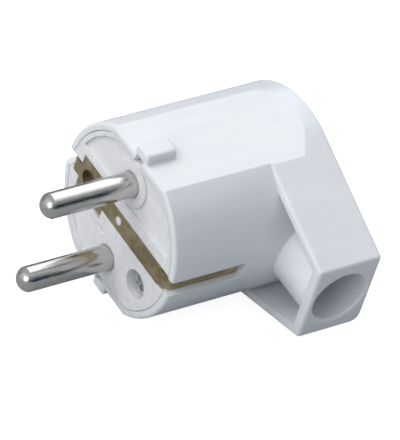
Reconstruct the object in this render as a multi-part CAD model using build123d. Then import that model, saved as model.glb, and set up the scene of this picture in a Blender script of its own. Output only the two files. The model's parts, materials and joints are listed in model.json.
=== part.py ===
from build123d import *
import os
from math import acos, asin, atan2, cos, degrees, hypot, radians, sin, sqrt

# Angled two-pin mains plug with side earth contacts, in millimetres.
# While it is drawn, the pins point along -Y, the cable outlet along +X, and the two
# pins stand one above the other along Z. The engagement face is the plane Y = 0, and
# depth grows along +Y from that face to the plug's back. The last step rolls the
# finished plug about Y, towards its outlet, to how it comes to rest on a table: on the
# lower key lug, one corner of the lower flat and the round at its back.

# Pins
pin_diameter = 4.8
pin_length = 19.0
pin_spacing = 19.0
pin_root_radius = 2.6
pin_root_front = 0.05
pin_ring_radius = 3.0
pin_ring_front = 1.5
pin_ring_length = 1.2
terminal_head_radius = 3.7
terminal_head_length = 5.0
terminal_tap_depth = 6.5
terminal_head_gap = 0.3

# Housing, the outer shell
body_radius = 18.15
flat_height = 16.0
body_length = 36.5
mouth_wall = 1.45
inner_wall = 2.4
back_wall = 2.2
edge_round = 0.6
back_land = 3.1
ramp_length = 3.1

# Outlet block and cable tube
outlet_reach = 29.7
outlet_half_height = 8.3
lower_plate_inset = 1.05
plate_wall = 1.7
end_wall = 2.1
outlet_back_wall = 2.0
lower_back_round = 2.0
bore_radius = 5.6
tube_wall = 1.2
bore_mouth_round = 0.5

# Key lugs on the flats, with a small notch in the rim under each
key_half_width = 1.95
key_front = 0.3
key_back = 6.6
key_height = 1.9
key_round = 0.8
key_foot_round = 0.6
notch_half_width = 1.1
notch_height = 1.4
notch_depth = 1.2

# Contact base in the mouth of the housing
base_gap = 0.1
base_thickness = 4.0
panel_depth = 0.5
panel_rim = 1.0
panel_low_left = 5.5
panel_low_right = 4.7
panel_step_x = -5.0
lower_panel_right = -1.5
collar_radius = 4.5
pin_boss_radius = 4.6
pin_boss_back = 9.0
barrier_height = 8.0
barrier_wall = 1.0
barrier_z = 5.1

# Earth strip, folded from one strip of sheet
strip_thickness = 0.8
strip_half_width = 2.1
leg_half_width = 1.6
leg_inset = 1.4
leg_length = 15.4
bend_radius = 2.0
slot_half_width = 1.7
slot_length = 16.0
slot_end_round = 0.8
slot_depth = 3.95
peg_radius = 0.85
peg_gap = 0.02
earth_plate_left = -13.4
earth_plate_right = -5.0
earth_plate_half_width = 3.7
earth_plate_round = 0.6
pocket_left = -13.6
pocket_top = 3.8
pocket_bottom = -4.6
window_half_width = 3.0
window_right = -7.8
relief_left = -6.4
relief_top = -3.6
earth_screw_x = -10.9
earth_collar_radius = 2.7
earth_collar_back = 2.8

# Terminal screws, with a square clamp washer and a spring washer under each head
terminal_thread_radius = 1.75
terminal_head_screw_radius = 2.75
terminal_head_height = 2.0
terminal_screw_reach = 4.5
earth_screw_reach = 1.6
screw_slot_width = 0.8
screw_slot_depth = 0.9
clamp_washer_half = 2.75
clamp_washer_corner = 1.0
clamp_washer_thickness = 0.8
spring_washer_radius = 2.7
spring_washer_thickness = 0.8
washer_hole_gap = 0.1
washer_side_gap = 0.15

# Assembly screw through the contact base into an insert in the housing
assembly_x = 9.2
assembly_z = -7.3
counterbore_radius = 2.8
counterbore_depth = 4.0
assembly_thread_radius = 1.5
assembly_hole_radius = 1.7
assembly_head_radius = 2.6
assembly_head_height = 1.8
assembly_washer_radius = 2.7
assembly_washer_thickness = 0.5
assembly_screw_end = 12.5
base_boss_radius = 4.2
base_boss_back = 6.0
housing_boss_radius = 3.3
insert_radius = 2.2
insert_recess = 0.3
insert_end = 13.0
insert_hole_end = 15.0
boss_rib_wall = 1.4
cross_width = 0.8
cross_length = 3.0
cross_depth = 1.1

# Cord clamp, a strap over the cable on two posts
clamp_x = 2.0
clamp_post_z = 8.0
clamp_post_radius = 2.6
clamp_post_height = 9.8
clamp_strap_half_width = 2.9
clamp_strap_thickness = 2.0
clamp_ridge_radius = 1.0
clamp_ridge_half_length = 4.0
clamp_hole_radius = 1.35
clamp_thread_radius = 1.1
clamp_screw_head_radius = 2.2
clamp_screw_head_height = 1.6
clamp_screw_reach = 6.5
clamp_pilot_spare = 0.8
grip_rib_height = 0.8
grip_rib_wall = 1.0
grip_rib_spacing = 2.4

# Sizes that follow from the ones above
cavity_back = body_length - back_wall
mouth_radius = body_radius - mouth_wall
mouth_flat = flat_height - mouth_wall
cavity_radius = body_radius - inner_wall
cavity_flat = flat_height - inner_wall
flat_length = body_length - back_land - ramp_length
tube_radius = bore_radius + tube_wall
tube_y = body_length - tube_radius
outlet_front = body_length - 2 * tube_radius
lower_plate_distance = body_radius - lower_plate_inset
panel_radius = mouth_radius - base_gap - panel_rim
leg_reach = body_radius - leg_inset
slot_floor_x = body_radius - slot_depth
clamp_post_front = cavity_back - clamp_post_height
pin_radius = pin_diameter / 2
terminal_face = pin_boss_back + terminal_head_length
barrier_half_length = assembly_x - housing_boss_radius
end_distance = hypot(outlet_reach, outlet_half_height)
end_angle = atan2(outlet_half_height, outlet_reach)
flat_corner = sqrt(body_radius ** 2 - flat_height ** 2)
rest_run = flat_corner - key_half_width + key_round
rest_drop = key_height - key_round
rest_roll = degrees(atan2(rest_drop, rest_run) + asin(key_round / hypot(rest_run, rest_drop)))
overrun = 1.0


def depth_plane(depth):
    """Plane across the plug at this depth: sketch x runs along X, sketch y along Z."""
    return Plane(origin=(0, depth, 0), x_dir=(1, 0, 0), z_dir=(0, -1, 0))


def prism(sketch, front, back):
    """Solid of this cross-section from one depth to another."""
    return extrude(depth_plane(front) * sketch, amount=back - front, dir=(0, 1, 0))


def rod(radius, front, back, x=0, z=0):
    """Round bar along the plug's depth."""
    return prism(Pos(x, z) * Circle(radius), front, back)


def block(x_range, z_range, front, back):
    """Box given by its range along X and Z and its two depths."""
    width = x_range[1] - x_range[0]
    height = z_range[1] - z_range[0]
    middle = Pos(x_range[0] + width / 2, z_range[0] + height / 2)
    return prism(middle * Rectangle(width, height), front, back)


def flatted_disc(radius, flat):
    """Round section with a flat above and below, as the plug's body has."""
    return Circle(radius) & Rectangle(2 * radius, 2 * flat)


def edges_at(solid, axis, value):
    """Edges that lie in one plane across an axis, named "X", "Y" or "Z"."""
    def lies_there(edge):
        box = edge.bounding_box()
        return abs(getattr(box.min, axis) - value) < 0.01 and abs(getattr(box.max, axis) - value) < 0.01
    return solid.edges().filter_by(lies_there)


def flat_cutters():
    """What is cut from the round body above and below: a flat with a ramp at its end."""
    rise = body_radius - flat_height
    reach = body_radius + outlet_reach
    top = flat_height + 2 * rise
    ramp_end = flat_length + 2 * ramp_length
    outline = Polygon(
        (-overrun, flat_height), (flat_length, flat_height), (ramp_end, top), (-overrun, top),
        align=None,
    )
    upper = extrude(Plane.YZ * outline, amount=reach, both=True)
    return upper + mirror(upper, Plane.XY)


def tangent_point(distance, side):
    """Where a plate's outer line, drawn from the end face, meets a circle round the body."""
    angle = side * (end_angle + acos(distance / end_distance))
    return (distance * cos(angle), distance * sin(angle))


def outlet_outline(inset, end_inset):
    """Tapered outline of the outlet block, its plates and end moved inwards."""
    points = []
    for side, distance in ((1, body_radius), (-1, lower_plate_distance)):
        start = Vector(*tangent_point(distance, side))
        end = Vector(outlet_reach, side * outlet_half_height)
        slope = (end.Y - start.Y) / (end.X - start.X)
        inward = inset * hypot(1, slope)
        end_x = outlet_reach - end_inset
        edge = [
            (start.X, start.Y - side * inward),
            (end_x, end.Y - side * inward + slope * (end_x - end.X)),
        ]
        points += edge if side > 0 else edge[::-1]
    return Polygon(*points, align=None)


def plate_edges(solid, depth):
    """The lower and the upper plate's long edge at one depth of the outlet block."""
    edges = edges_at(solid, "Y", depth).sort_by(Axis.Z)
    return edges[0], edges[-1]


def outlet_block():
    """Tapered block with its bore and rounded edges; its upper back edge stays sharp until it meets the body."""
    solid = prism(outlet_outline(0, 0), outlet_front, body_length)
    solid = fillet(plate_edges(solid, body_length)[0], lower_back_round)
    solid = fillet([*edges_at(solid, "X", outlet_reach), *plate_edges(solid, outlet_front)], edge_round)
    solid -= along_x(bore_radius, body_radius, outlet_reach + overrun)
    mouth = edges_at(solid, "X", outlet_reach).filter_by(GeomType.CIRCLE).sort_by(SortBy.RADIUS)[-1]
    return fillet(mouth, bore_mouth_round)


def outer_form():
    """Round body and outlet block as one solid, with rounded rims, flats and ramps."""
    solid = rod(body_radius, 0, body_length) + outlet_block()
    back_rim = edges_at(solid, "Y", body_length)
    upper_plate = back_rim.sort_by(Axis.Z)[-1]
    solid = fillet([*back_rim.filter_by(GeomType.CIRCLE), upper_plate], edge_round)
    solid -= flat_cutters()
    return fillet(edges_at(solid, "Y", 0), edge_round)


def outlet_pocket():
    """Open room between the outlet's two plates, in which the cable tube stands."""
    room = prism(
        outlet_outline(plate_wall, end_wall), outlet_front - overrun, body_length - outlet_back_wall
    )
    return room - rod(body_radius, 0, body_length)


def along_x(radius, start, end):
    """Round bar along the cable tube's axis."""
    plane = Plane(origin=(start, tube_y, 0), x_dir=(0, 1, 0), z_dir=(1, 0, 0))
    return extrude(plane * Circle(radius), amount=end - start)


def key_lug():
    """Lug on the upper flat, rounded above and blended into the flat at its foot."""
    foot = flat_height - mouth_wall / 2
    lug = Rectangle(2 * key_half_width, flat_height + key_height - foot)
    lug = Pos(0, foot + (flat_height + key_height - foot) / 2) * lug
    lug = fillet(lug.vertices().sort_by(Axis.Y)[2:], key_round)
    foot_width = 2 * (key_half_width + 2 * key_foot_round)
    pad = Pos(0, (foot + flat_height) / 2) * Rectangle(foot_width, flat_height - foot)
    section = lug + pad
    inner_corners = [
        corner for corner in section.vertices()
        if abs(corner.Y - flat_height) < 0.01 and abs(abs(corner.X) - key_half_width) < 0.01
    ]
    section = fillet(inner_corners, key_foot_round)
    solid = prism(section, key_front, key_back)
    ends = [edge for edge in edges_at(solid, "Y", key_front) + edges_at(solid, "Y", key_back)
            if edge.center().Z > flat_height + key_height - 0.01]
    return fillet(ends, key_round / 2)


def side_slot():
    """Cutter for the window over one leg of the earth strip, on the +X side."""
    length = slot_length + overrun
    outline = Pos(length / 2 - overrun, 0) * Rectangle(length, 2 * slot_half_width)
    outline = fillet(outline.vertices().sort_by(Axis.X)[2:], slot_end_round)
    plane = Plane(origin=(slot_floor_x, 0, 0), x_dir=(0, 1, 0), z_dir=(1, 0, 0))
    return extrude(plane * outline, amount=body_radius)


def both_sides(solid):
    return solid + mirror(solid, Plane.YZ)


def above_and_below(solid):
    return solid + mirror(solid, Plane.XY)


def boss_rib():
    """Rib that ties the assembly screw's boss to the housing's wall."""
    distance = hypot(assembly_x, assembly_z)
    length = cavity_radius - distance + mouth_wall
    turn = degrees(atan2(assembly_z, assembly_x))
    rib = Rot(0, 0, turn) * Pos(distance + length / 2, 0) * Rectangle(length, boss_rib_wall)
    return prism(rib, base_boss_back + overrun, cavity_back + overrun)


def housing():
    """One moulding: body, outlet block, cable tube, lugs, and the bosses inside."""
    tube = along_x(tube_radius, cavity_radius, outlet_reach - end_wall / 2)
    shell = outer_form() - outlet_pocket() + tube + above_and_below(key_lug())

    shell -= prism(flatted_disc(mouth_radius, mouth_flat), -overrun, base_thickness)
    shell -= prism(flatted_disc(cavity_radius, cavity_flat), 0, cavity_back)
    for side in (1, -1):
        shell -= rod(terminal_head_radius + terminal_head_gap, 0, terminal_face + terminal_head_gap,
                     0, side * pin_spacing / 2)
    shell -= along_x(bore_radius, cavity_radius - overrun, outlet_reach + overrun)
    shell -= both_sides(side_slot())
    notch = block((-notch_half_width, notch_half_width),
                  (mouth_flat - overrun, mouth_flat + notch_height), -overrun, notch_depth)
    shell -= above_and_below(notch)

    inside = rod(housing_boss_radius, base_boss_back, cavity_back + overrun, assembly_x, assembly_z)
    inside += boss_rib()
    for side in (1, -1):
        inside += rod(clamp_post_radius, clamp_post_front, cavity_back + overrun,
                      clamp_x, side * clamp_post_z)
    for step in (-1, 0, 1):
        middle = clamp_x + step * grip_rib_spacing
        inside += block((middle - grip_rib_wall / 2, middle + grip_rib_wall / 2),
                        (-clamp_ridge_half_length, clamp_ridge_half_length),
                        cavity_back - grip_rib_height, cavity_back + overrun)
    shell += inside
    shell -= rod(insert_radius, 0, insert_end, assembly_x, assembly_z)
    shell -= rod(assembly_hole_radius, 0, insert_hole_end, assembly_x, assembly_z)
    pilot_end = clamp_post_front + clamp_screw_reach + clamp_pilot_spare
    for side in (1, -1):
        shell -= rod(clamp_thread_radius, clamp_post_front - overrun, pilot_end,
                     clamp_x, side * clamp_post_z)
    return shell


def pin_blank(side):
    """Contact pin before tapping: domed tip, thicker root with a ring in the base, terminal head."""
    ring_back = pin_ring_front + pin_ring_length
    profile = Polyline(
        (0, -pin_length), (0, terminal_face), (terminal_head_radius, terminal_face),
        (terminal_head_radius, pin_boss_back), (pin_root_radius, pin_boss_back),
        (pin_root_radius, ring_back), (pin_ring_radius, ring_back),
        (pin_ring_radius, pin_ring_front), (pin_root_radius, pin_ring_front),
        (pin_root_radius, pin_root_front), (pin_radius, pin_root_front), (pin_radius, pin_radius - pin_length),
    )
    middle = pin_radius * sin(radians(45))
    tip = ThreePointArc(
        (pin_radius, pin_radius - pin_length), (middle, pin_radius - middle - pin_length), (0, -pin_length)
    )
    return Pos(0, 0, side * pin_spacing / 2) * revolve(make_face(profile + tip), Axis.Y)


def pin(side):
    """Contact pin with its head tapped for the terminal screw."""
    return pin_blank(side) - rod(terminal_thread_radius, terminal_face - terminal_tap_depth,
                                 terminal_face + overrun, 0, side * pin_spacing / 2)


def face_panels():
    """Recessed panels in the contact base's face: one above the strip, one beside the lower pin."""
    span = 2 * panel_radius
    disc = flatted_disc(panel_radius, mouth_flat - base_gap - panel_depth)
    upper = disc & (Pos(0, panel_low_right + span / 2) * Rectangle(span, span))
    low_left = Pos(panel_step_x - span / 2, panel_low_left - span / 2) * Rectangle(span, span)
    upper -= low_left
    lower = disc & (Pos(lower_panel_right - span / 2, -panel_low_left - span / 2) * Rectangle(span, span))
    panels = upper + lower
    for side in (1, -1):
        panels -= Pos(0, side * pin_spacing / 2) * Circle(collar_radius)
    return prism(panels, -overrun, panel_depth)


def contact_base():
    """Moulding that carries the pins, the earth strip and the assembly screw's seat."""
    base = prism(flatted_disc(mouth_radius - base_gap, mouth_flat - base_gap), 0, base_thickness)
    behind = rod(base_boss_radius, base_thickness / 2, base_boss_back, assembly_x, assembly_z)
    for side in (1, -1):
        behind += rod(pin_boss_radius, base_thickness / 2, pin_boss_back, 0, side * pin_spacing / 2)
        behind += block((-barrier_half_length, barrier_half_length),
                        (side * barrier_z - barrier_wall / 2, side * barrier_z + barrier_wall / 2),
                        base_thickness / 2, base_thickness + barrier_height)
    room = flatted_disc(cavity_radius - base_gap, cavity_flat - base_gap)
    base += behind & prism(room, 0, cavity_back)
    base -= face_panels()

    # Groove, pocket and window for the earth strip, with its peg left standing
    groove = block((panel_step_x, body_radius), (-strip_half_width, strip_half_width),
                   -overrun, strip_thickness)
    pocket = block((pocket_left, earth_plate_right), (pocket_bottom, pocket_top),
                   -overrun, strip_thickness)
    window_left = earth_screw_x - clamp_washer_half - washer_side_gap
    window = block((window_left, window_right), (-window_half_width, window_half_width),
                   strip_thickness, base_thickness + overrun)
    relief = block((relief_left, earth_plate_right), (pocket_bottom, relief_top),
                   0, base_thickness + overrun)
    channel = block((slot_floor_x, body_radius), (-slot_half_width, slot_half_width),
                    -overrun, base_thickness + overrun)
    left_channel = block((-body_radius, pocket_left + overrun), (-slot_half_width, slot_half_width),
                         -overrun, base_thickness + overrun)
    base -= groove + pocket + window + relief + channel + left_channel
    base += rod(peg_radius, 0, strip_thickness + overrun)

    base -= rod(counterbore_radius, -overrun, counterbore_depth, assembly_x, assembly_z)
    base -= rod(assembly_hole_radius, 0, base_boss_back + overrun, assembly_x, assembly_z)
    return base - pin_blank(1) - pin_blank(-1)


def earth_strip():
    """Strip across the face with a leg down each side, and a wide plate for the earth screw."""
    def bent(reach, front, back, corner):
        outline = Pos(0, (front + back) / 2) * Rectangle(2 * reach, back - front)
        return fillet(outline.vertices().sort_by(Axis.Y)[:2], corner)

    legs = bent(leg_reach, 0, leg_length, bend_radius)
    legs -= bent(leg_reach - strip_thickness, strip_thickness, leg_length + overrun,
                 bend_radius - strip_thickness)
    strip = extrude(legs, amount=leg_half_width, both=True)
    strip += block((earth_plate_right - overrun, slot_floor_x), (-strip_half_width, strip_half_width),
                   0, strip_thickness)
    plate_length = earth_plate_right - earth_plate_left
    plate = Pos((earth_plate_left + earth_plate_right) / 2, 0) * RectangleRounded(
        plate_length, 2 * earth_plate_half_width, earth_plate_round)
    strip += prism(plate, 0, strip_thickness)
    strip += rod(earth_collar_radius, strip_thickness / 2, earth_collar_back, earth_screw_x)
    strip -= rod(terminal_thread_radius, -overrun, earth_collar_back + overrun, earth_screw_x)
    return strip - rod(peg_radius + peg_gap, -overrun, strip_thickness + overrun)


def clamp_washer(front, x, z):
    """Square washer with cut corners that presses the wire."""
    outline = Rectangle(2 * clamp_washer_half, 2 * clamp_washer_half)
    outline = chamfer(outline.vertices(), clamp_washer_corner)
    outline -= Circle(terminal_thread_radius + washer_hole_gap)
    return prism(Pos(x, z) * outline, front, front + clamp_washer_thickness)


def ring(radius, hole, front, thickness, x, z):
    return prism(Pos(x, z) * (Circle(radius) - Circle(hole)), front, front + thickness)


def screw(radius, head_radius, head_height, seat, reach, x, z, towards):
    """Screw with its head standing off the seat; `towards` is the way its shank runs in depth."""
    head = rod(head_radius, min(seat, seat - towards * head_height), max(seat, seat - towards * head_height),
               x, z)
    crown = edges_at(head, "Y", seat - towards * head_height)
    head = fillet(crown, head_height / 4)
    end = seat + towards * reach
    return head + rod(radius, min(seat, end), max(seat, end), x, z)


def driver_slot(seat, head_height, towards, x, z, turn=0):
    """Cutter for a straight driver slot across a screw's head."""
    top = seat - towards * head_height
    floor = top + towards * screw_slot_depth
    outline = Pos(x, z) * Rot(0, 0, turn) * Rectangle(4 * terminal_head_screw_radius, screw_slot_width)
    outside = top - towards * overrun
    return prism(outline, min(floor, outside), max(floor, outside))


def terminal(name, seat, reach, x, z, turn):
    """Screw, spring washer and clamp washer of one terminal, stacked from its seat."""
    spring_front = seat + clamp_washer_thickness
    head_seat = spring_front + spring_washer_thickness
    fastener = screw(terminal_thread_radius, terminal_head_screw_radius, terminal_head_height,
                     head_seat, head_seat - seat + reach, x, z, -1)
    hole = terminal_thread_radius + washer_hole_gap
    return {
        name + "_terminal_screw": fastener - driver_slot(head_seat, terminal_head_height, -1, x, z, turn),
        name + "_clamp_washer": clamp_washer(seat, x, z),
        name + "_spring_washer": ring(spring_washer_radius, hole, spring_front,
                                      spring_washer_thickness, x, z),
    }


def assembly_screw():
    """Cross-recess screw that holds the contact base in the housing."""
    seat = counterbore_depth - assembly_washer_thickness
    solid = screw(assembly_thread_radius, assembly_head_radius, assembly_head_height,
                  seat, assembly_screw_end - seat, assembly_x, assembly_z, 1)
    top = seat - assembly_head_height
    for size in ((cross_length, cross_width), (cross_width, cross_length)):
        solid -= prism(Pos(assembly_x, assembly_z) * Rectangle(*size), top - overrun, top + cross_depth)
    return solid


def cord_clamp():
    """Strap with rounded ends and a ridge that presses the cable."""
    half_length = clamp_post_z + clamp_strap_half_width
    strap = RectangleRounded(2 * clamp_strap_half_width, 2 * half_length, clamp_strap_half_width * 0.95)
    for side in (1, -1):
        strap -= Pos(0, side * clamp_post_z) * Circle(clamp_hole_radius)
    solid = prism(Pos(clamp_x, 0) * strap, clamp_post_front - clamp_strap_thickness, clamp_post_front)
    ridge = Plane(origin=(clamp_x, clamp_post_front, 0)) * Circle(clamp_ridge_radius)
    return solid + extrude(ridge, amount=clamp_ridge_half_length, both=True)


def cord_clamp_screw(side):
    seat = clamp_post_front - clamp_strap_thickness
    z = side * clamp_post_z
    solid = screw(clamp_thread_radius, clamp_screw_head_radius, clamp_screw_head_height,
                  seat, clamp_strap_thickness + clamp_screw_reach, clamp_x, z, 1)
    return solid - driver_slot(seat, clamp_screw_head_height, 1, clamp_x, z, 60 * side)


def all_pieces():
    pieces = {
        "housing": housing(),
        "contact_base": contact_base(),
        "line_pin": pin(1),
        "neutral_pin": pin(-1),
        "earth_strip": earth_strip(),
        "assembly_screw": assembly_screw(),
        "assembly_washer": ring(assembly_washer_radius, assembly_hole_radius,
                                counterbore_depth - assembly_washer_thickness,
                                assembly_washer_thickness, assembly_x, assembly_z),
        "housing_insert": ring(insert_radius, assembly_thread_radius, base_boss_back + insert_recess,
                               insert_end - base_boss_back - insert_recess, assembly_x, assembly_z),
        "cord_clamp": cord_clamp(),
        "cord_clamp_screw_left": cord_clamp_screw(1),
        "cord_clamp_screw_right": cord_clamp_screw(-1),
    }
    half = pin_spacing / 2
    pieces |= terminal("line", terminal_face, terminal_screw_reach, 0, half, 25)
    pieces |= terminal("neutral", terminal_face, terminal_screw_reach, 0, -half, -40)
    pieces |= terminal("earth", earth_collar_back, earth_screw_reach, earth_screw_x, 0, 70)
    return pieces


os.makedirs("parts", exist_ok=True)
for name, piece in all_pieces().items():
    piece = Rot(0, rest_roll, 0) * piece
    piece.label = name
    export_step(piece, f"parts/{name}.step")
    print(f"{name:24s} {len(piece.solids())} solid, {piece.volume:9.1f} mm3")
print(f"rolled by {rest_roll:.2f} degrees to rest on a key lug and a flat's corner")
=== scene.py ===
# %% [markdown]
# # A white right-angle mains plug
#
# The real object is a rewireable plug: a glossy white moulding with a tapered cable outlet, a second
# moulding in its mouth, two nickel-plated pins and one folded strip of brass that is the earth contact.
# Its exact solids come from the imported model, which stays where it is. This script gives every surface
# its finish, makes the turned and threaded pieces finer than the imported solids, and lights the scene.
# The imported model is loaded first, and its box is kept, because nothing may grow past it.

import json
import math

import bmesh
import bpy
from mathutils import Matrix, Vector


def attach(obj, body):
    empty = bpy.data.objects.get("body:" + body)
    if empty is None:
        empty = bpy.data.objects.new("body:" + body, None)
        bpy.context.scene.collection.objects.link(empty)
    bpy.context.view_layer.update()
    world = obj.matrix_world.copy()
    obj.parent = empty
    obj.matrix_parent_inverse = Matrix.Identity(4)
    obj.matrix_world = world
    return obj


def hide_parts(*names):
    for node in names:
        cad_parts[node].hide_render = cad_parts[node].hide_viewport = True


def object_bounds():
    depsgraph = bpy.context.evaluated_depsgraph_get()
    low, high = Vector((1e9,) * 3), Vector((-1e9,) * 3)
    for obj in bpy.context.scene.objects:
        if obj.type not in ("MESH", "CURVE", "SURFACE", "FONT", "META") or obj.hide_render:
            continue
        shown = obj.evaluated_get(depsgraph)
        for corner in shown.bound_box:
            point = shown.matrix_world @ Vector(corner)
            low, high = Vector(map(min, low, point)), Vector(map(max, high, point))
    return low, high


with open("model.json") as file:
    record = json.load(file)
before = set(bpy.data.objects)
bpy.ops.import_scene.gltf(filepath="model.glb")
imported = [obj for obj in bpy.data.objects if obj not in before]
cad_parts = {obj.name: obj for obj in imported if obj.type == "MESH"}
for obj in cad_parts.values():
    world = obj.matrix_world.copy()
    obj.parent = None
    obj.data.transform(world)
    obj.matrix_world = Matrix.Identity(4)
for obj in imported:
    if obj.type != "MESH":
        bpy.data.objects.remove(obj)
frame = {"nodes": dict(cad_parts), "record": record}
cad_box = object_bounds()
record = frame["record"]
nodes = frame["nodes"]
print("packed nodes:", len(nodes), "in a box from", cad_box[0], "to", cad_box[1])

# %% [markdown]
# ## The plug's own directions
#
# The plug lies on one of its key lugs, rolled towards its outlet, so its own axes are turned about the
# pins' direction.
# The record says where the cable entry points, and that gives the turn. With it, every place can be
# written as on a drawing of the plug: x towards the outlet, y from the face to the back, z from pin to pin.

# %% Axes of the plug
MM = 0.001
mounts = {mount["name"]: mount for mount in record["mounts"]}
outlet_direction = Vector(mounts["cable_entry"]["axis"])
rest_roll = math.atan2(-outlet_direction.z, outlet_direction.x)
plug_axes = Matrix.Rotation(rest_roll, 4, "Y")


def place(x, y, z):
    """A point of the plug's drawing, in millimetres, as a place in the scene."""
    return plug_axes @ (Vector((x, y, z)) * MM)


print("the plug is rolled by", round(math.degrees(rest_roll), 2), "degrees")

# %% [markdown]
# ## The camera
#
# The photograph was taken from above the outlet's side, through a long lens, so near and far edges stay
# almost parallel. The camera circles a point in the middle of the plug: an azimuth, an elevation, a tilt
# of the frame and a distance. They are given in the plug's own drawing and then rolled with it, so the
# view stays the same however the plug lies. A long lens far away gives the same flat perspective.

# %% Camera at the photograph's angle
camera_azimuth = 44.69
camera_elevation = 42.96
camera_tilt = 19.26
camera_distance = 1.0105
camera_target = Vector((7.61, 11.85, 3.97)) * MM
lens_length = 461.1


def looking_matrix(position, target, tilt=0.0):
    """A matrix for something at a position that looks at a target, tilted about its line of sight."""
    turn = (position - target).to_track_quat("Z", "Y").to_matrix().to_4x4()
    return Matrix.Translation(position) @ turn @ Matrix.Rotation(math.radians(tilt), 4, "Z")


azimuth = math.radians(camera_azimuth)
elevation = math.radians(camera_elevation)
towards_camera = Vector((
    math.cos(elevation) * math.sin(azimuth),
    -math.cos(elevation) * math.cos(azimuth),
    math.sin(elevation),
))
camera = bpy.data.objects.new("camera", bpy.data.cameras.new("camera"))
camera.data.lens = lens_length
camera.data.sensor_width = 36.0
camera.data.clip_end = 20.0
camera_position = camera_target + towards_camera * camera_distance
camera.matrix_world = plug_axes @ looking_matrix(camera_position, camera_target, camera_tilt)
scene = bpy.context.scene
scene.collection.objects.link(camera)
scene.camera = camera
print("camera at", [round(value, 3) for value in camera.matrix_world.translation])

# %% [markdown]
# ## Where the light tent is bright and dark
#
# The plug lies inside a light tent, which is the world. Polished metal shows whatever stands round it, so
# the tent has a long bright window behind the plug, which draws one white band along each pin, and dark
# gaps at both ends of it, which draw the dark lines beside the band. A soft box in front shows as a white
# patch on the pins' noses, a weak wide one fills the face and the hollows, and a dark flag shades the
# outlet's side. All are soft spots: a direction, a core angle, a rim angle and a change of brightness.
# A pin is a long round mirror. It turns the line of sight into a cone of directions about its own axis,
# as steep as the line of sight itself, and the window is a row of spots on that cone.

# %% Spots of the tent
along_pins = -towards_camera.y
across_pins = math.sqrt(1.0 - along_pins ** 2)


def seen_in_pins(turn):
    """Direction that a pin reflects to the camera, by its turn about the pin's axis in degrees."""
    angle = math.radians(turn)
    return (across_pins * math.cos(angle), along_pins, across_pins * math.sin(angle))


window_spots = [(seen_in_pins(turn), 10.0, 16.0, 0.95) for turn in (97, 117, 137, 157)]
gap_above = (seen_in_pins(38), 10.0, 32.0, -0.13)
gap_beyond = (seen_in_pins(186), 8.0, 20.0, -0.25)
box_in_front = ((0.24, -0.87, 0.47), 16.0, 22.0, 1.7)
wide_front = ((-0.15, -0.95, 0.20), 25.0, 48.0, 0.40)
side_flag = ((0.95, -0.05, 0.25), 25.0, 55.0, -0.22)
tent_spots = (*window_spots, gap_above, gap_beyond, box_in_front, wide_front, side_flag)
print("the tent has", len(tent_spots), "soft spots")

# %% [markdown]
# ## Nodes for the tent
#
# The world, the materials and the Geometry Nodes trees are all nodes and links, so a few short helpers
# serve them all. A soft spot compares each direction of the world with the spot's own: their dot product
# is the cosine of the angle between them, and a smooth step turns it into a change of brightness.

# %% Helpers for nodes


def new_link(tree, start, end):
    """Join an output to an input of a node tree."""
    tree.links.new(start, end)


def add_node(tree, kind, **values):
    """A node with some of its properties set."""
    node = tree.nodes.new(kind)
    for name, value in values.items():
        setattr(node, name, value)
    return node


def math_node(tree, operation, first, second=None, third=None, clamp=False):
    """One arithmetic step; each input is a socket or a number."""
    node = add_node(tree, "ShaderNodeMath", operation=operation, use_clamp=clamp)
    for index, value in enumerate((first, second, third)):
        if value is None:
            continue
        if isinstance(value, (int, float)):
            node.inputs[index].default_value = value
        else:
            new_link(tree, value, node.inputs[index])
    return node.outputs["Value"]


def axes_of(tree, vector):
    """The X, Y and Z of a vector."""
    node = add_node(tree, "ShaderNodeSeparateXYZ")
    new_link(tree, vector, node.inputs["Vector"])
    return node.outputs


def soft_spot(tree, direction, centre, core, rim, change):
    """Change of brightness round one direction: full inside the core angle, none outside the rim angle."""
    nearness = add_node(tree, "ShaderNodeVectorMath", operation="DOT_PRODUCT")
    nearness.inputs[1].default_value = (plug_axes.to_3x3() @ Vector(centre)).normalized()
    new_link(tree, direction, nearness.inputs[0])
    shape = add_node(tree, "ShaderNodeMapRange", interpolation_type="SMOOTHSTEP")
    shape.inputs["From Min"].default_value = math.cos(math.radians(rim))
    shape.inputs["From Max"].default_value = math.cos(math.radians(core))
    shape.inputs["To Max"].default_value = change
    new_link(tree, nearness.outputs["Value"], shape.inputs["Value"])
    return shape.outputs["Result"]


print("node helpers are ready")

# %% [markdown]
# ## The tent as the world
#
# The cloth itself is bright overhead, paler low down and has a darker belt above the horizon. A colour
# ramp over the height of a direction gives that. The height runs from -1 to 1 and a ramp reads 0 to 1, so
# the height is halved and raised by a half. Then the spots are added to the colour one by one.

# %% World
floor_colour = (0.40, 0.42, 0.45, 1.0)
roof_colour = (0.62, 0.64, 0.66, 1.0)
cool_tint = (0.92, 0.96, 1.0)
wall_levels = ((0.50, 0.40), (0.60, 0.30), (0.75, 0.50))


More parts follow.
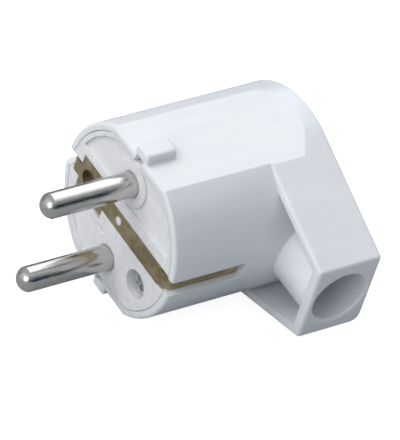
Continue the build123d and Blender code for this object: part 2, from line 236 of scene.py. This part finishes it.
def light_tent():
    """A world whose brightness follows the height above the horizon, with the soft spots added."""
    world = bpy.data.worlds.new("light_tent")
    world.use_nodes = True
    tree = world.node_tree
    direction = add_node(tree, "ShaderNodeTexCoord").outputs["Generated"]
    height = math_node(tree, "MULTIPLY_ADD", axes_of(tree, direction)["Z"], 0.5, 0.5)
    ramp = add_node(tree, "ShaderNodeValToRGB")
    new_link(tree, height, ramp.inputs["Fac"])
    stops = ramp.color_ramp.elements
    stops[0].color = floor_colour
    stops[1].color = roof_colour
    for position, level in wall_levels:
        stops.new(position).color = (*(level * share for share in cool_tint), 1.0)
    colour = ramp.outputs["Color"]
    for spot in tent_spots:
        total = add_node(tree, "ShaderNodeVectorMath", operation="ADD")
        new_link(tree, colour, total.inputs[0])
        new_link(tree, soft_spot(tree, direction, *spot), total.inputs[1])
        colour = total.outputs["Vector"]
    background = tree.nodes["Background"]
    background.inputs["Strength"].default_value = 1.0
    new_link(tree, colour, background.inputs["Color"])
    return world


scene.view_settings.view_transform = "Standard"
scene.world = light_tent()
print("world:", scene.world.name, "with", len(scene.world.node_tree.nodes), "nodes")

# %% [markdown]
# ## The table
#
# The plug lies on a plain white table. A table that is only lit would come out grey, or so bright that it
# lights the plug from below. This one is middle grey for the plug, and glows white only to the camera.
# It is part of the stage and not of the plug, so it is no piece of the model.

# %% White table
table_radius = 1.6
table_colour = (0.42, 0.435, 0.45, 1.0)
table_glow = 0.9


def mesh_object(name, shape):
    """A new object of the scene from a bmesh, which is freed."""
    mesh = bpy.data.meshes.new(name)
    shape.to_mesh(mesh)
    shape.free()
    made = bpy.data.objects.new(name, mesh)
    scene.collection.objects.link(made)
    return made


def white_table():
    """Matt paper that glows to the camera alone."""
    paper = bpy.data.materials.new("white_table")
    paper.use_nodes = True
    tree = paper.node_tree
    surface = tree.nodes["Principled BSDF"]
    surface.inputs["Base Color"].default_value = table_colour
    surface.inputs["Roughness"].default_value = 0.9
    surface.inputs["Specular IOR Level"].default_value = 0.1
    surface.inputs["Emission Color"].default_value = (1.0, 1.0, 1.0, 1.0)
    seen = add_node(tree, "ShaderNodeLightPath")
    glow = math_node(tree, "MULTIPLY", seen.outputs["Is Camera Ray"], table_glow)
    new_link(tree, glow, surface.inputs["Emission Strength"])
    return paper


table_shape = bmesh.new()
bmesh.ops.create_circle(table_shape, cap_ends=True, segments=96, radius=table_radius)
bmesh.ops.translate(table_shape, verts=table_shape.verts, vec=(0.0, 0.0, cad_box[0].z))
table = mesh_object("table_top", table_shape)
table.data.materials.append(white_table())
print("stage:", table.name)

# %% [markdown]
# ## The lamp
#
# One large square lamp lifts the top of the plug and draws its soft shadow. It isn't seen in reflections,
# so that rounded edges don't turn pure white: what shines there is the tent alone.

# %% Key light


def soft_light(name, position, target, width, power):
    """A square soft light that looks at a target and stays out of reflections."""
    lamp = bpy.data.lights.new(name, "AREA")
    lamp.size = width
    lamp.energy = power
    holder = bpy.data.objects.new(name, lamp)
    holder.matrix_world = looking_matrix(Vector(position), target)
    holder.visible_glossy = False
    scene.collection.objects.link(holder)
    return holder


key_light = soft_light("key_light", (-0.27, -0.45, 0.72), camera_target, width=0.6, power=2.9)
print("light:", key_light.name)

# %% [markdown]
# ## Reading places in a material
#
# A finish that belongs to one area, such as the matt panels of the face, needs to know where it is.
# Object coordinates are the mesh's own, so they never slide. A Mapping node turns them back into the
# plug's drawing, in millimetres, so that a mask reads like a dimension. White plastic also lets light a
# little way in, which softens its shading, so everything that isn't metal gets a thin layer of that.

# %% A material to start from
plastic_ior = 1.5
translucent_share = 0.25
translucent_depth = 0.8 * MM


def new_finish(name, roughness, metallic=0.0):
    """A material with its middle roughness: itself, its tree, its surface and the drawing coordinates."""
    material = bpy.data.materials.new(name)
    material.use_nodes = True
    tree = material.node_tree
    surface = tree.nodes["Principled BSDF"]
    surface.inputs["Roughness"].default_value = roughness
    surface.inputs["Metallic"].default_value = metallic
    surface.inputs["IOR"].default_value = plastic_ior
    if not metallic:
        surface.inputs["Subsurface Weight"].default_value = translucent_share
        surface.inputs["Subsurface Radius"].default_value = (1.0, 1.0, 1.0)
        surface.inputs["Subsurface Scale"].default_value = translucent_depth
    source = add_node(tree, "ShaderNodeTexCoord")
    drawing = add_node(tree, "ShaderNodeMapping", vector_type="POINT")
    drawing.inputs["Rotation"].default_value = (0.0, -rest_roll, 0.0)
    drawing.inputs["Scale"].default_value = (1.0 / MM, 1.0 / MM, 1.0 / MM)
    new_link(tree, source.outputs["Object"], drawing.inputs["Vector"])
    return material, tree, surface, drawing.outputs["Vector"]


def stretched(tree, drawing, share):
    """Drawing coordinates whose patterns run lengthwise: the smaller the share, the longer the streaks."""
    node = add_node(tree, "ShaderNodeMapping", vector_type="POINT")
    node.inputs["Scale"].default_value = (1.0, share, 1.0)
    new_link(tree, drawing, node.inputs["Vector"])
    return node.outputs["Vector"]


print("light goes about", translucent_depth / MM, "mm into the plastics")

# %% [markdown]
# ## Values and colours
#
# Every finish is made of the same few steps: noise at a size in millimetres, a stretch of its range, a mix
# of two colours, and a bump of a real height. The bump can start from a Bevel node, which bends the
# normals near an edge. Real mouldings have no perfectly sharp edges, and this gives each edge its highlight
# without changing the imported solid.

# %% Helpers for values and colours
edge_samples = 6
noise_middle = (0.32, 0.68)


def noise(tree, vector, scale, detail=3.0, roughness=0.5):
    """Noise value at a scale given in waves per millimetre of the drawing."""
    node = add_node(tree, "ShaderNodeTexNoise")
    node.inputs["Scale"].default_value = scale
    node.inputs["Detail"].default_value = detail
    node.inputs["Roughness"].default_value = roughness
    new_link(tree, vector, node.inputs["Vector"])
    return node.outputs["Fac"]


def spread(tree, value, low, high):
    """A value from 0 to 1 stretched to a range."""
    node = add_node(tree, "ShaderNodeMapRange")
    node.inputs["To Min"].default_value = low
    node.inputs["To Max"].default_value = high
    new_link(tree, value, node.inputs["Value"])
    return node.outputs["Result"]


def contrast(tree, value):
    """Noise crowds round a half; this stretches its middle part to the whole range from 0 to 1."""
    node = add_node(tree, "ShaderNodeMapRange")
    node.inputs["From Min"].default_value = noise_middle[0]
    node.inputs["From Max"].default_value = noise_middle[1]
    new_link(tree, value, node.inputs["Value"])
    return node.outputs["Result"]


def two_tone(tree, factor, start, end):
    """A mix of two colours by a factor; each colour is a socket or three numbers."""
    node = add_node(tree, "ShaderNodeMix", data_type="RGBA")
    new_link(tree, factor, node.inputs["Factor"])
    for name, colour in (("A", start), ("B", end)):
        if isinstance(colour, tuple):
            node.inputs[name].default_value = (*colour, 1.0)
        else:
            new_link(tree, colour, node.inputs[name])
    return node.outputs["Result"]


def paint(tree, surface, factor, start, end):
    """A surface's colour as a mix of two."""
    new_link(tree, two_tone(tree, factor, start, end), surface.inputs["Base Color"])


def raise_surface(tree, surface, height, distance, edge_round=0.0):
    """Bump of a real distance from a value of 0 to 1; edge_round is the radius that edges seem to have."""
    bump = add_node(tree, "ShaderNodeBump")
    bump.inputs["Distance"].default_value = distance
    new_link(tree, height, bump.inputs["Height"])
    if edge_round:
        soft_edges = add_node(tree, "ShaderNodeBevel", samples=edge_samples)
        soft_edges.inputs["Radius"].default_value = edge_round
        new_link(tree, soft_edges.outputs["Normal"], bump.inputs["Normal"])
    new_link(tree, bump.outputs["Normal"], surface.inputs["Normal"])


print("material helpers are ready")

# %% [markdown]
# ## White moulded plastic
#
# Both mouldings are glossy white thermoplastic. A real moulding isn't perfectly even: its skin has a very
# slight waviness, and its gloss varies a little. Both are noise at a scale of millimetres, and the patches
# of gloss are a little finer than the waves. They are a group, so that the housing and the base share
# them, each with its own values.

# %% Moulded skin, shared by both plastics


def moulded_skin_group():
    """Node group: a moulding's waviness and uneven gloss from its coordinates."""
    group = bpy.data.node_groups.new("moulded_skin", "ShaderNodeTree")
    for name in ("Waves", "Gloss low", "Gloss high"):
        group.interface.new_socket(name, in_out="INPUT", socket_type="NodeSocketFloat")
    group.interface.new_socket("Vector", in_out="INPUT", socket_type="NodeSocketVector")
    for name in ("Height", "Roughness"):
        group.interface.new_socket(name, in_out="OUTPUT", socket_type="NodeSocketFloat")
    inside = group.nodes.new("NodeGroupInput")
    outside = group.nodes.new("NodeGroupOutput")
    waves = add_node(group, "ShaderNodeTexNoise")
    waves.inputs["Detail"].default_value = 1.0
    new_link(group, inside.outputs["Vector"], waves.inputs["Vector"])
    new_link(group, inside.outputs["Waves"], waves.inputs["Scale"])
    new_link(group, waves.outputs["Fac"], outside.inputs["Height"])
    gloss = add_node(group, "ShaderNodeMapRange")
    patches = noise(group, inside.outputs["Vector"], scale=0.35, detail=4.0)
    new_link(group, patches, gloss.inputs["Value"])
    new_link(group, inside.outputs["Gloss low"], gloss.inputs["To Min"])
    new_link(group, inside.outputs["Gloss high"], gloss.inputs["To Max"])
    new_link(group, gloss.outputs["Result"], outside.inputs["Roughness"])
    return group


moulded_skin = moulded_skin_group()


def add_skin(tree, vector, waves, gloss_low, gloss_high):
    """The moulded skin group, placed in a material."""
    node = add_node(tree, "ShaderNodeGroup", node_tree=moulded_skin)
    node.inputs["Waves"].default_value = waves
    node.inputs["Gloss low"].default_value = gloss_low
    node.inputs["Gloss high"].default_value = gloss_high
    new_link(tree, vector, node.inputs["Vector"])
    return node


print("group:", moulded_skin.name)

# %% [markdown]
# ## The housing
#
# Melted plastic runs along the body when it is moulded and leaves faint bluish flow lines in it. They are
# a noise stretched from front to back, which mixes a cool white with a clean one.

# %% Housing plastic


def housing_plastic():
    """Glossy white with flow lines."""
    material, tree, surface, drawing = new_finish("white_housing", roughness=0.2)
    skin = add_skin(tree, drawing, waves=0.22, gloss_low=0.16, gloss_high=0.26)
    flow_lines = noise(tree, stretched(tree, drawing, 0.12), scale=0.5)
    cool_white = (0.755, 0.795, 0.84)
    clean_white = (0.87, 0.88, 0.89)
    paint(tree, surface, flow_lines, cool_white, clean_white)
    new_link(tree, skin.outputs["Roughness"], surface.inputs["Roughness"])
    raise_surface(tree, surface, skin.outputs["Height"], distance=0.04 * MM, edge_round=0.35 * MM)
    return material


white_housing = housing_plastic()
print("made", white_housing.name)

# %% [markdown]
# ## The face with its matt panels
#
# The base's panels are sunk half a millimetre, and the mould was spark-eroded there, which leaves a fine
# matt grain. The rest of the face is glossy. A mask picks the panel floors by their depth behind the face.
# The plastic itself is slightly mottled, in patches of a few millimetres.

# %% Contact base
panel_depth = 0.5
panel_zone = (0.8 * panel_depth, 1.1 * panel_depth)
panel_extra_roughness = 0.3
wave_share = 0.3


def base_plastic():
    """Glossy white, matt on the panel floors."""
    material, tree, surface, drawing = new_finish("white_base", roughness=0.3)
    skin = add_skin(tree, drawing, waves=0.3, gloss_low=0.22, gloss_high=0.34)
    depth = axes_of(tree, drawing)["Y"]
    behind_face = math_node(tree, "GREATER_THAN", depth, panel_zone[0])
    above_floor = math_node(tree, "LESS_THAN", depth, panel_zone[1])
    panel = math_node(tree, "MULTIPLY", behind_face, above_floor)
    mottling = contrast(tree, noise(tree, drawing, scale=0.5, detail=5.0, roughness=0.6))
    grey_white = (0.795, 0.79, 0.81)
    warm_white = (0.865, 0.86, 0.865)
    paint(tree, surface, mottling, grey_white, warm_white)
    gloss = skin.outputs["Roughness"]
    matt = math_node(tree, "MULTIPLY_ADD", panel, panel_extra_roughness, gloss, clamp=True)
    new_link(tree, matt, surface.inputs["Roughness"])
    grain = noise(tree, drawing, scale=5.0, detail=4.0, roughness=0.6)
    height = math_node(tree, "MULTIPLY", grain, panel)
    height = math_node(tree, "MULTIPLY_ADD", skin.outputs["Height"], wave_share, height)
    raise_surface(tree, surface, height, distance=0.05 * MM, edge_round=0.3 * MM)
    return material


white_base = base_plastic()
print("made", white_base.name)

# %% [markdown]
# ## Nickel on the pins
#
# The pins are brass with bright nickel, polished lengthwise, so fine lines run along them: a noise that is
# stretched along the pin. Where the plate is stained it is darker, and its gloss is uneven.

# %% Nickel plate


def plated_pin():
    """Bright nickel with lengthwise polishing lines and faint stains."""
    material, tree, surface, drawing = new_finish("nickel_plate", roughness=0.16, metallic=1.0)
    polishing_lines = noise(tree, stretched(tree, drawing, 0.06), scale=3.5, roughness=0.6)
    stains = noise(tree, drawing, scale=0.5)
    stained_nickel = (0.50, 0.495, 0.475)
    clean_nickel = (0.64, 0.635, 0.615)
    paint(tree, surface, stains, stained_nickel, clean_nickel)
    new_link(tree, spread(tree, stains, low=0.12, high=0.24), surface.inputs["Roughness"])
    raise_surface(tree, surface, polishing_lines, distance=0.03 * MM)
    return material


nickel_plate = plated_pin()
print("made", nickel_plate.name)

# %% [markdown]
# ## Dull brass of the earth strip
#
# The strip is rolled brass that has gone dull and brown, unevenly. Round its tapped hole it is painted
# dark:
# partly tarnish, partly painted shade that stands in for a countersink which the solid doesn't have. The
# dark ring is a mask from the distance to a point beside the hole's middle. It is full inside, and fades
# out over the last fifth of a millimetre before its rim.

# %% Tarnished strip, with painted shade round its hole
earth_hole_x = -10.9
earth_hole_radius = 1.75
# The dark ring round the hole is painted shade of a countersink, and tarnish.
shade_tarnish_ring_x = earth_hole_x + 0.4
shade_tarnish_ring_radius = earth_hole_radius + 0.55
shade_tarnish_ring_fade = 0.2
shade_tarnish_ring_share = 0.55


def shade_and_tarnish_round_hole(tree, drawing):
    """Mask of the dark ring round the tapped hole: painted shade of a countersink, and tarnish."""
    axes = axes_of(tree, drawing)
    sideways = math_node(tree, "SUBTRACT", axes["X"], shade_tarnish_ring_x)
    square = math_node(tree, "MULTIPLY", sideways, sideways)
    square = math_node(tree, "MULTIPLY_ADD", axes["Z"], axes["Z"], square)
    distance = math_node(tree, "SQRT", square)
    return math_node(tree, "MULTIPLY_ADD", distance, -1.0 / shade_tarnish_ring_fade, shade_tarnish_ring_radius / shade_tarnish_ring_fade, clamp=True)


def tarnished_strip():
    """Dull brass, brown in patches, and dark round the hole with painted shade and tarnish."""
    material, tree, surface, drawing = new_finish("dull_brass", roughness=0.45, metallic=1.0)
    tarnish = contrast(tree, noise(tree, drawing, scale=0.45, detail=5.0, roughness=0.6))
    brown_brass = (0.33, 0.25, 0.135)
    yellow_brass = (0.57, 0.47, 0.30)
    # Black-brown of the ring round the hole: painted shade and tarnish.
    shade_and_tarnish_brown = (0.085, 0.06, 0.035)
    brass = two_tone(tree, tarnish, brown_brass, yellow_brass)
    # The ring mixes painted shade and tarnish into the brass round the hole.
    shade_and_tarnish_ring = math_node(tree, "MULTIPLY", shade_and_tarnish_round_hole(tree, drawing), shade_tarnish_ring_share)
    paint(tree, surface, shade_and_tarnish_ring, brass, shade_and_tarnish_brown)
    new_link(tree, spread(tree, tarnish, low=0.5, high=0.36), surface.inputs["Roughness"])
    raise_surface(tree, surface, noise(tree, drawing, scale=4.0), distance=0.01 * MM)
    return material


dull_brass = tarnished_strip()
print("made", dull_brass.name)

# %% [markdown]
# ## Small metal pieces and the cord clamp
#
# The clamp washers and the insert are turned or stamped brass, and the screws are zinc-plated steel, whose
# crystals show as a faint pattern of cells. The strap of the cord clamp is grey plastic.

# %% Finishes of the inner pieces


def bright_brass():
    """Clean brass with a slightly uneven tone."""
    material, tree, surface, drawing = new_finish("bright_brass", roughness=0.3, metallic=1.0)
    tone = noise(tree, drawing, scale=0.8)
    deep_yellow = (0.58, 0.42, 0.18)
    light_yellow = (0.74, 0.56, 0.27)
    paint(tree, surface, tone, deep_yellow, light_yellow)
    new_link(tree, spread(tree, tone, low=0.24, high=0.36), surface.inputs["Roughness"])
    raise_surface(tree, surface, noise(tree, drawing, scale=5.0), distance=0.01 * MM)
    return material


def zinc_steel():
    """Zinc plate with its crystals, on edges that seem slightly rounded."""
    material, tree, surface, drawing = new_finish("zinc_steel", roughness=0.4, metallic=1.0)
    crystals = add_node(tree, "ShaderNodeTexVoronoi")
    crystals.inputs["Scale"].default_value = 2.5
    new_link(tree, drawing, crystals.inputs["Vector"])
    tone = crystals.outputs["Distance"]
    bright_zinc = (0.84, 0.86, 0.88)
    grey_zinc = (0.60, 0.62, 0.64)
    paint(tree, surface, tone, bright_zinc, grey_zinc)
    new_link(tree, spread(tree, tone, low=0.18, high=0.30), surface.inputs["Roughness"])
    skin = noise(tree, drawing, scale=6.0, detail=2.0)
    raise_surface(tree, surface, skin, distance=0.01 * MM, edge_round=0.06 * MM)
    return material


def clamp_plastic():
    """Matt grey plastic."""
    material, tree, surface, drawing = new_finish("grey_clamp", roughness=0.55)
    tone = noise(tree, drawing, scale=1.2, detail=4.0)
    dark_grey = (0.30, 0.30, 0.29)
    middle_grey = (0.36, 0.36, 0.35)
    paint(tree, surface, tone, dark_grey, middle_grey)
    raise_surface(tree, surface, noise(tree, drawing, scale=5.0), distance=0.02 * MM)
    return material


finishes = {
    "housing_plastic": white_housing,
    "base_plastic": white_base,
    "plated_pin": nickel_plate,
    "strip_brass": dull_brass,
    "insert_brass": bright_brass(),
    "zinc_steel": zinc_steel(),
    "clamp_plastic": clamp_plastic(),
}
print("finishes:", sorted(finishes))

# %% [markdown]
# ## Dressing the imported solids
#
# The solids already have their true shape, so they stay and only get their finish. Their meshes are loose
# triangles, which shade flat. A small Geometry Nodes tree welds them and smooths every edge that is nearly
# flat, so that round walls look round and real corners stay crisp. The crease angle is small, because the
# line where a flat of the housing meets its round is a real one.

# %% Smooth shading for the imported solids
weld_distance = 0.002 * MM
crease_angle = math.radians(9)


def tree_with_inputs(name, sizes):
    """An empty Geometry Nodes tree with named sizes as inputs, and its start and end."""
    tree = bpy.data.node_groups.new(name, "GeometryNodeTree")
    tree.interface.new_socket("Geometry", in_out="INPUT", socket_type="NodeSocketGeometry")
    for size_name in sizes:
        tree.interface.new_socket(size_name, in_out="INPUT", socket_type="NodeSocketFloat")
    tree.interface.new_socket("Geometry", in_out="OUTPUT", socket_type="NodeSocketGeometry")
    return tree, tree.nodes.new("NodeGroupInput"), tree.nodes.new("NodeGroupOutput")


def put_tree_on(piece, tree, sizes):
    """The tree as a modifier of a piece, with each size set by its socket's identifier."""
    modifier = piece.modifiers.new(tree.name, "NODES")
    modifier.node_group = tree
    for item in tree.interface.items_tree:
        if item.in_out == "INPUT" and item.name in sizes:
            modifier[item.identifier] = sizes[item.name]


def smoothing_tree():
    """Weld loose triangles, then shade smooth except at real corners."""
    tree, start, end = tree_with_inputs("smooth_round_walls", ("Weld distance", "Crease angle"))
    weld = add_node(tree, "GeometryNodeMergeByDistance")
    faces = add_node(tree, "GeometryNodeSetShadeSmooth")
    angle = add_node(tree, "GeometryNodeInputMeshEdgeAngle")
    corner = add_node(tree, "FunctionNodeCompare", data_type="FLOAT", operation="LESS_EQUAL")
    edges = add_node(tree, "GeometryNodeSetShadeSmooth", domain="EDGE")
    new_link(tree, start.outputs["Geometry"], weld.inputs["Geometry"])
    new_link(tree, start.outputs["Weld distance"], weld.inputs["Distance"])
    new_link(tree, weld.outputs["Geometry"], faces.inputs["Geometry"])
    new_link(tree, faces.outputs["Geometry"], edges.inputs["Geometry"])
    new_link(tree, angle.outputs["Unsigned Angle"], corner.inputs["A"])
    new_link(tree, start.outputs["Crease angle"], corner.inputs["B"])
    new_link(tree, corner.outputs["Result"], edges.inputs["Shade Smooth"])
    new_link(tree, edges.outputs["Geometry"], end.inputs["Geometry"])
    return tree


smooth_round_walls = smoothing_tree()
slot_of = {part["node"]: part["material_slot"] for part in record["subparts"]}
for name, solid in nodes.items():
    solid.data.materials.clear()
    solid.data.materials.append(finishes[slot_of[name]])
    put_tree_on(solid, smooth_round_walls, {"Weld distance": weld_distance, "Crease angle": crease_angle})
print("dressed", len(nodes), "solids")

# %% [markdown]
# ## A lathe
#
# The pins and the assembly screw are turned pieces, so each is a profile spun round its axis: pairs of
# radius and depth, from the tip to the other end. Each pair becomes a ring of points, or one point where
# the radius is zero, and neighbouring rings are joined by faces.

# %% Lathe for turned pieces
turned_corner = math.radians(12)


def ring_of_points(shape, radius, depth, x, z, steps):
    """Points of one ring about an axis along the plug's depth; a ring without a radius is one point."""
    if radius == 0.0:
        return [shape.verts.new(place(x, depth, z))]
    turns = [2.0 * math.pi * step / steps for step in range(steps)]
    return [
        shape.verts.new(place(x + radius * math.cos(turn), depth, z + radius * math.sin(turn)))
        for turn in turns
    ]


def lathe(name, profile, x, z, steps=96):
    """A closed profile of (radius, depth) pairs spun round an axis along the plug's depth."""
    shape = bmesh.new()
    rings = [ring_of_points(shape, radius, depth, x, z, steps) for radius, depth in profile]
    for first, second in zip(rings, rings[1:]):
        for step in range(steps):
            after = (step + 1) % steps
            if len(first) == 1:
                shape.faces.new((first[0], second[after], second[step]))
            elif len(second) == 1:
                shape.faces.new((first[step], first[after], second[0]))
            else:
                shape.faces.new((first[step], first[after], second[after], second[step]))
    bmesh.ops.recalc_face_normals(shape, faces=shape.faces)
    piece = mesh_object(name, shape)
    piece.data.shade_smooth()
    piece.data.set_sharp_from_angle(angle=turned_corner)
    return piece


print("the lathe keeps corners above", round(math.degrees(turned_corner)), "degrees sharp")

# %% [markdown]
# ## Turned pins
#
# A pin's nose is a shallow dome that meets the shank at a faint corner, which is why the white line along
# the pin stops short of the tip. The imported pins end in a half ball, so lathed pins replace them. Their
# spacing and thickness are those of the record's mount for the socket.

# %% Lathed pins
pin_spacing = mounts["pins"]["dims"]["pcd_mm"]
pin_radius = mounts["pins"]["dims"]["stud_r_mm"]
pin_length = 19.0
nose_length = 1.7
nose_steps = 10
root_radius = 2.6
root_front = 0.05
collar_radius = 3.0
collar_front = 1.5
collar_back = 2.7
head_radius = 3.7
head_front = 9.0
head_back = 14.0
head_chamfer = 0.2
head_hole_radius = 1.75
head_hole_floor = 7.5


def nose_profile():
    """Arc of the dome, from the tip to the shank."""
    dome = (pin_radius ** 2 + nose_length ** 2) / (2.0 * nose_length)
    half_angle = math.asin(pin_radius / dome)
    arc = [(0.0, -pin_length)]
    for step in range(1, nose_steps + 1):
        angle = half_angle * step / nose_steps
        arc.append((dome * math.sin(angle), -pin_length + dome * (1.0 - math.cos(angle))))
    return arc


def pin_profile():
    """Nose, shank, thicker root with its collar, and the head with its tapped hole."""
    root = [
        (pin_radius, root_front),
        (root_radius, root_front),
        (root_radius, collar_front),
        (collar_radius, collar_front),
        (collar_radius, collar_back),
        (root_radius, collar_back),
        (root_radius, head_front),
    ]
    head = [
        (head_radius - head_chamfer, head_front),
        (head_radius, head_front + head_chamfer),
        (head_radius, head_back - head_chamfer),
        (head_radius - head_chamfer, head_back),
        (head_hole_radius, head_back),
        (head_hole_radius, head_hole_floor),
        (0.0, head_hole_floor),
    ]
    return nose_profile() + root + head


for name, side in (("line_pin", 1), ("neutral_pin", -1)):
    turned_pin = lathe("turned_" + name, pin_profile(), 0.0, side * pin_spacing / 2.0)
    turned_pin.data.materials.append(finishes["plated_pin"])
    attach(turned_pin, "root")
    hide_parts(name)
    print("spun", turned_pin.name, len(turned_pin.data.polygons), "faces")

# %% [markdown]
# ## The assembly screw
#
# The screw in the counterbore is the one small piece that the eye goes to, because its cross recess catches
# the light. It is lathed like the pins, with a domed head. Its crown stands where the photograph shows it.

# %% Profile of the screw
screw_x = 9.2
screw_z = -7.3
screw_crown = 1.0
screw_dome = ((0.0, 0.0), (1.0, 0.03), (1.8, 0.14), (2.3, 0.34), (2.55, 0.65), (2.6, 1.0))
screw_head_radius = 2.6
screw_head_back = 3.5
screw_head_edge = 0.05
screw_shank_radius = 1.5
screw_end = 12.5
screw_taper = 0.4


def screw_profile():
    """Domed head, shank and tapered end."""
    dome = [(radius, screw_crown + drop) for radius, drop in screw_dome]
    return dome + [
        (screw_head_radius, screw_head_back - screw_head_edge),
        (screw_head_radius - screw_head_edge, screw_head_back),
        (screw_shank_radius, screw_head_back),
        (screw_shank_radius, screw_end - screw_taper),
        (screw_shank_radius - screw_taper, screw_end),
        (0.0, screw_end),
    ]


print("the screw is", screw_end - screw_crown, "mm long")

# %% [markdown]
# ## Its cross recess
#
# Two Boolean modifiers cut the recess into the head, one tapered bar each, at the angle that the photograph
# shows. A bar starts above the head, where it is wider than the recess, and narrows to the recess's floor.
# The result is made a plain mesh, and the bars are removed.

# %% Screw with a tapered cross recess
recess_length = 3.4
recess_width = 0.85
recess_depth = 1.5
recess_turn = 46.0
bar_rise = 0.5
bar_top_share = 1.12
bar_floor_share = 0.45
recess_corner = math.radians(30)


def recess_bar(turn):
    """Cutter for one arm of the recess, wide above the head and narrow at its floor."""
    angle = math.radians(turn)
    ends = (
        (screw_crown - bar_rise, bar_top_share),
        (screw_crown + recess_depth, bar_floor_share),
    )
    shape = bmesh.new()
    layers = []
    for depth, share in ends:
        corners = []
        for along, across in ((-1, -1), (1, -1), (1, 1), (-1, 1)):
            long_way = along * share * recess_length / 2.0
            short_way = across * share * recess_width / 2.0
            x = screw_x + long_way * math.cos(angle) - short_way * math.sin(angle)
            z = screw_z + long_way * math.sin(angle) + short_way * math.cos(angle)
            corners.append(shape.verts.new(place(x, depth, z)))
        layers.append(corners)
    top, floor = layers
    shape.faces.new(top)
    shape.faces.new(floor)
    for step in range(4):
        after = (step + 1) % 4
        shape.faces.new((top[step], top[after], floor[after], floor[step]))
    bmesh.ops.recalc_face_normals(shape, faces=shape.faces)
    return mesh_object("recess_bar", shape)


def make_plain(piece):
    """Keep what a piece's modifiers made as its plain mesh, and remove them."""
    result = piece.evaluated_get(bpy.context.evaluated_depsgraph_get())
    piece.data = bpy.data.meshes.new_from_object(result)
    piece.modifiers.clear()


def cut_screw():
    """The lathed screw with both bars cut out of its head."""
    screw = lathe("crossed_screw", screw_profile(), screw_x, screw_z, steps=64)
    bars = [recess_bar(recess_turn), recess_bar(recess_turn + 90.0)]
    for bar in bars:
        cutting = screw.modifiers.new("cut", "BOOLEAN")
        cutting.operation = "DIFFERENCE"
        cutting.solver = "EXACT"
        cutting.object = bar
    make_plain(screw)
    for bar in bars:
        bpy.data.objects.remove(bar)
    return screw


crossed_screw = cut_screw()
crossed_screw.data.materials.clear()
crossed_screw.data.materials.append(finishes["zinc_steel"])
crossed_screw.data.set_sharp_from_angle(angle=recess_corner)
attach(crossed_screw, "root")
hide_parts("assembly_screw")
print("cut", crossed_screw.name, len(crossed_screw.data.polygons), "faces")

# %% [markdown]
# ## The thread in the earth strip
#
# The hole in the strip's wide end is tapped for the earth screw, and the photograph shows its first turns.
# A thread is one triangle swept along a helix. Geometry Nodes does that in four steps: a spiral curve, a
# three-sided profile, the sweep with closed ends, and the finish. The tree lies along Z, so the swept mesh
# is turned into the hole afterwards and becomes a plain mesh.

# %% Swept thread
thread_pitch = 0.6
thread_turns = 4.0
thread_ridge = 0.22
thread_front = 0.25
thread_steps = 48


def thread_tree(material):
    """A helix with a triangular ridge."""
    tree, start, end = tree_with_inputs("swept_thread", ("Radius", "Height", "Turns", "Ridge"))
    helix = add_node(tree, "GeometryNodeCurveSpiral")
    helix.inputs["Resolution"].default_value = thread_steps
    ridge = add_node(tree, "GeometryNodeCurvePrimitiveCircle")
    ridge.inputs["Resolution"].default_value = 3
    sweep = add_node(tree, "GeometryNodeCurveToMesh")
    sweep.inputs["Fill Caps"].default_value = True
    real = add_node(tree, "GeometryNodeRealizeInstances")
    dress = add_node(tree, "GeometryNodeSetMaterial")
    dress.inputs["Material"].default_value = material
    new_link(tree, start.outputs["Radius"], helix.inputs["Start Radius"])
    new_link(tree, start.outputs["Radius"], helix.inputs["End Radius"])
    new_link(tree, start.outputs["Height"], helix.inputs["Height"])
    new_link(tree, start.outputs["Turns"], helix.inputs["Rotations"])
    new_link(tree, start.outputs["Ridge"], ridge.inputs["Radius"])
    new_link(tree, helix.outputs["Curve"], sweep.inputs["Curve"])
    new_link(tree, ridge.outputs["Curve"], sweep.inputs["Profile Curve"])
    new_link(tree, sweep.outputs["Mesh"], real.inputs["Geometry"])
    new_link(tree, real.outputs["Geometry"], dress.inputs["Geometry"])
    new_link(tree, dress.outputs["Geometry"], end.inputs["Geometry"])
    return tree


strip_thread = bpy.data.objects.new("strip_thread", bpy.data.meshes.new("strip_thread_start"))
scene.collection.objects.link(strip_thread)
put_tree_on(strip_thread, thread_tree(finishes["strip_brass"]), {
    "Radius": earth_hole_radius * MM,
    "Height": thread_pitch * thread_turns * MM,
    "Turns": thread_turns,
    "Ridge": thread_ridge * MM,
})
make_plain(strip_thread)
print("swept", strip_thread.name, len(strip_thread.data.polygons), "faces")

# %% [markdown]
# ## Into the hole
#
# The thread's axis is turned from Z to the plug's depth and moved to the hole's middle. All of this goes
# into the mesh itself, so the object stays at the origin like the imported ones. The sweep's triangles may
# face inwards, so their normals are worked out again.

# %% Thread in its hole
hole_place = Matrix.Translation(Vector((earth_hole_x, thread_front, 0.0)) * MM)
along_depth = hole_place @ Matrix.Rotation(-math.pi / 2, 4, "X")
strip_thread.data.transform(plug_axes @ along_depth)
thread_shape = bmesh.new()
thread_shape.from_mesh(strip_thread.data)
bmesh.ops.recalc_face_normals(thread_shape, faces=thread_shape.faces)
thread_shape.to_mesh(strip_thread.data)
thread_shape.free()
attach(strip_thread, "root")
print("the thread is", thread_pitch * thread_turns, "mm deep")
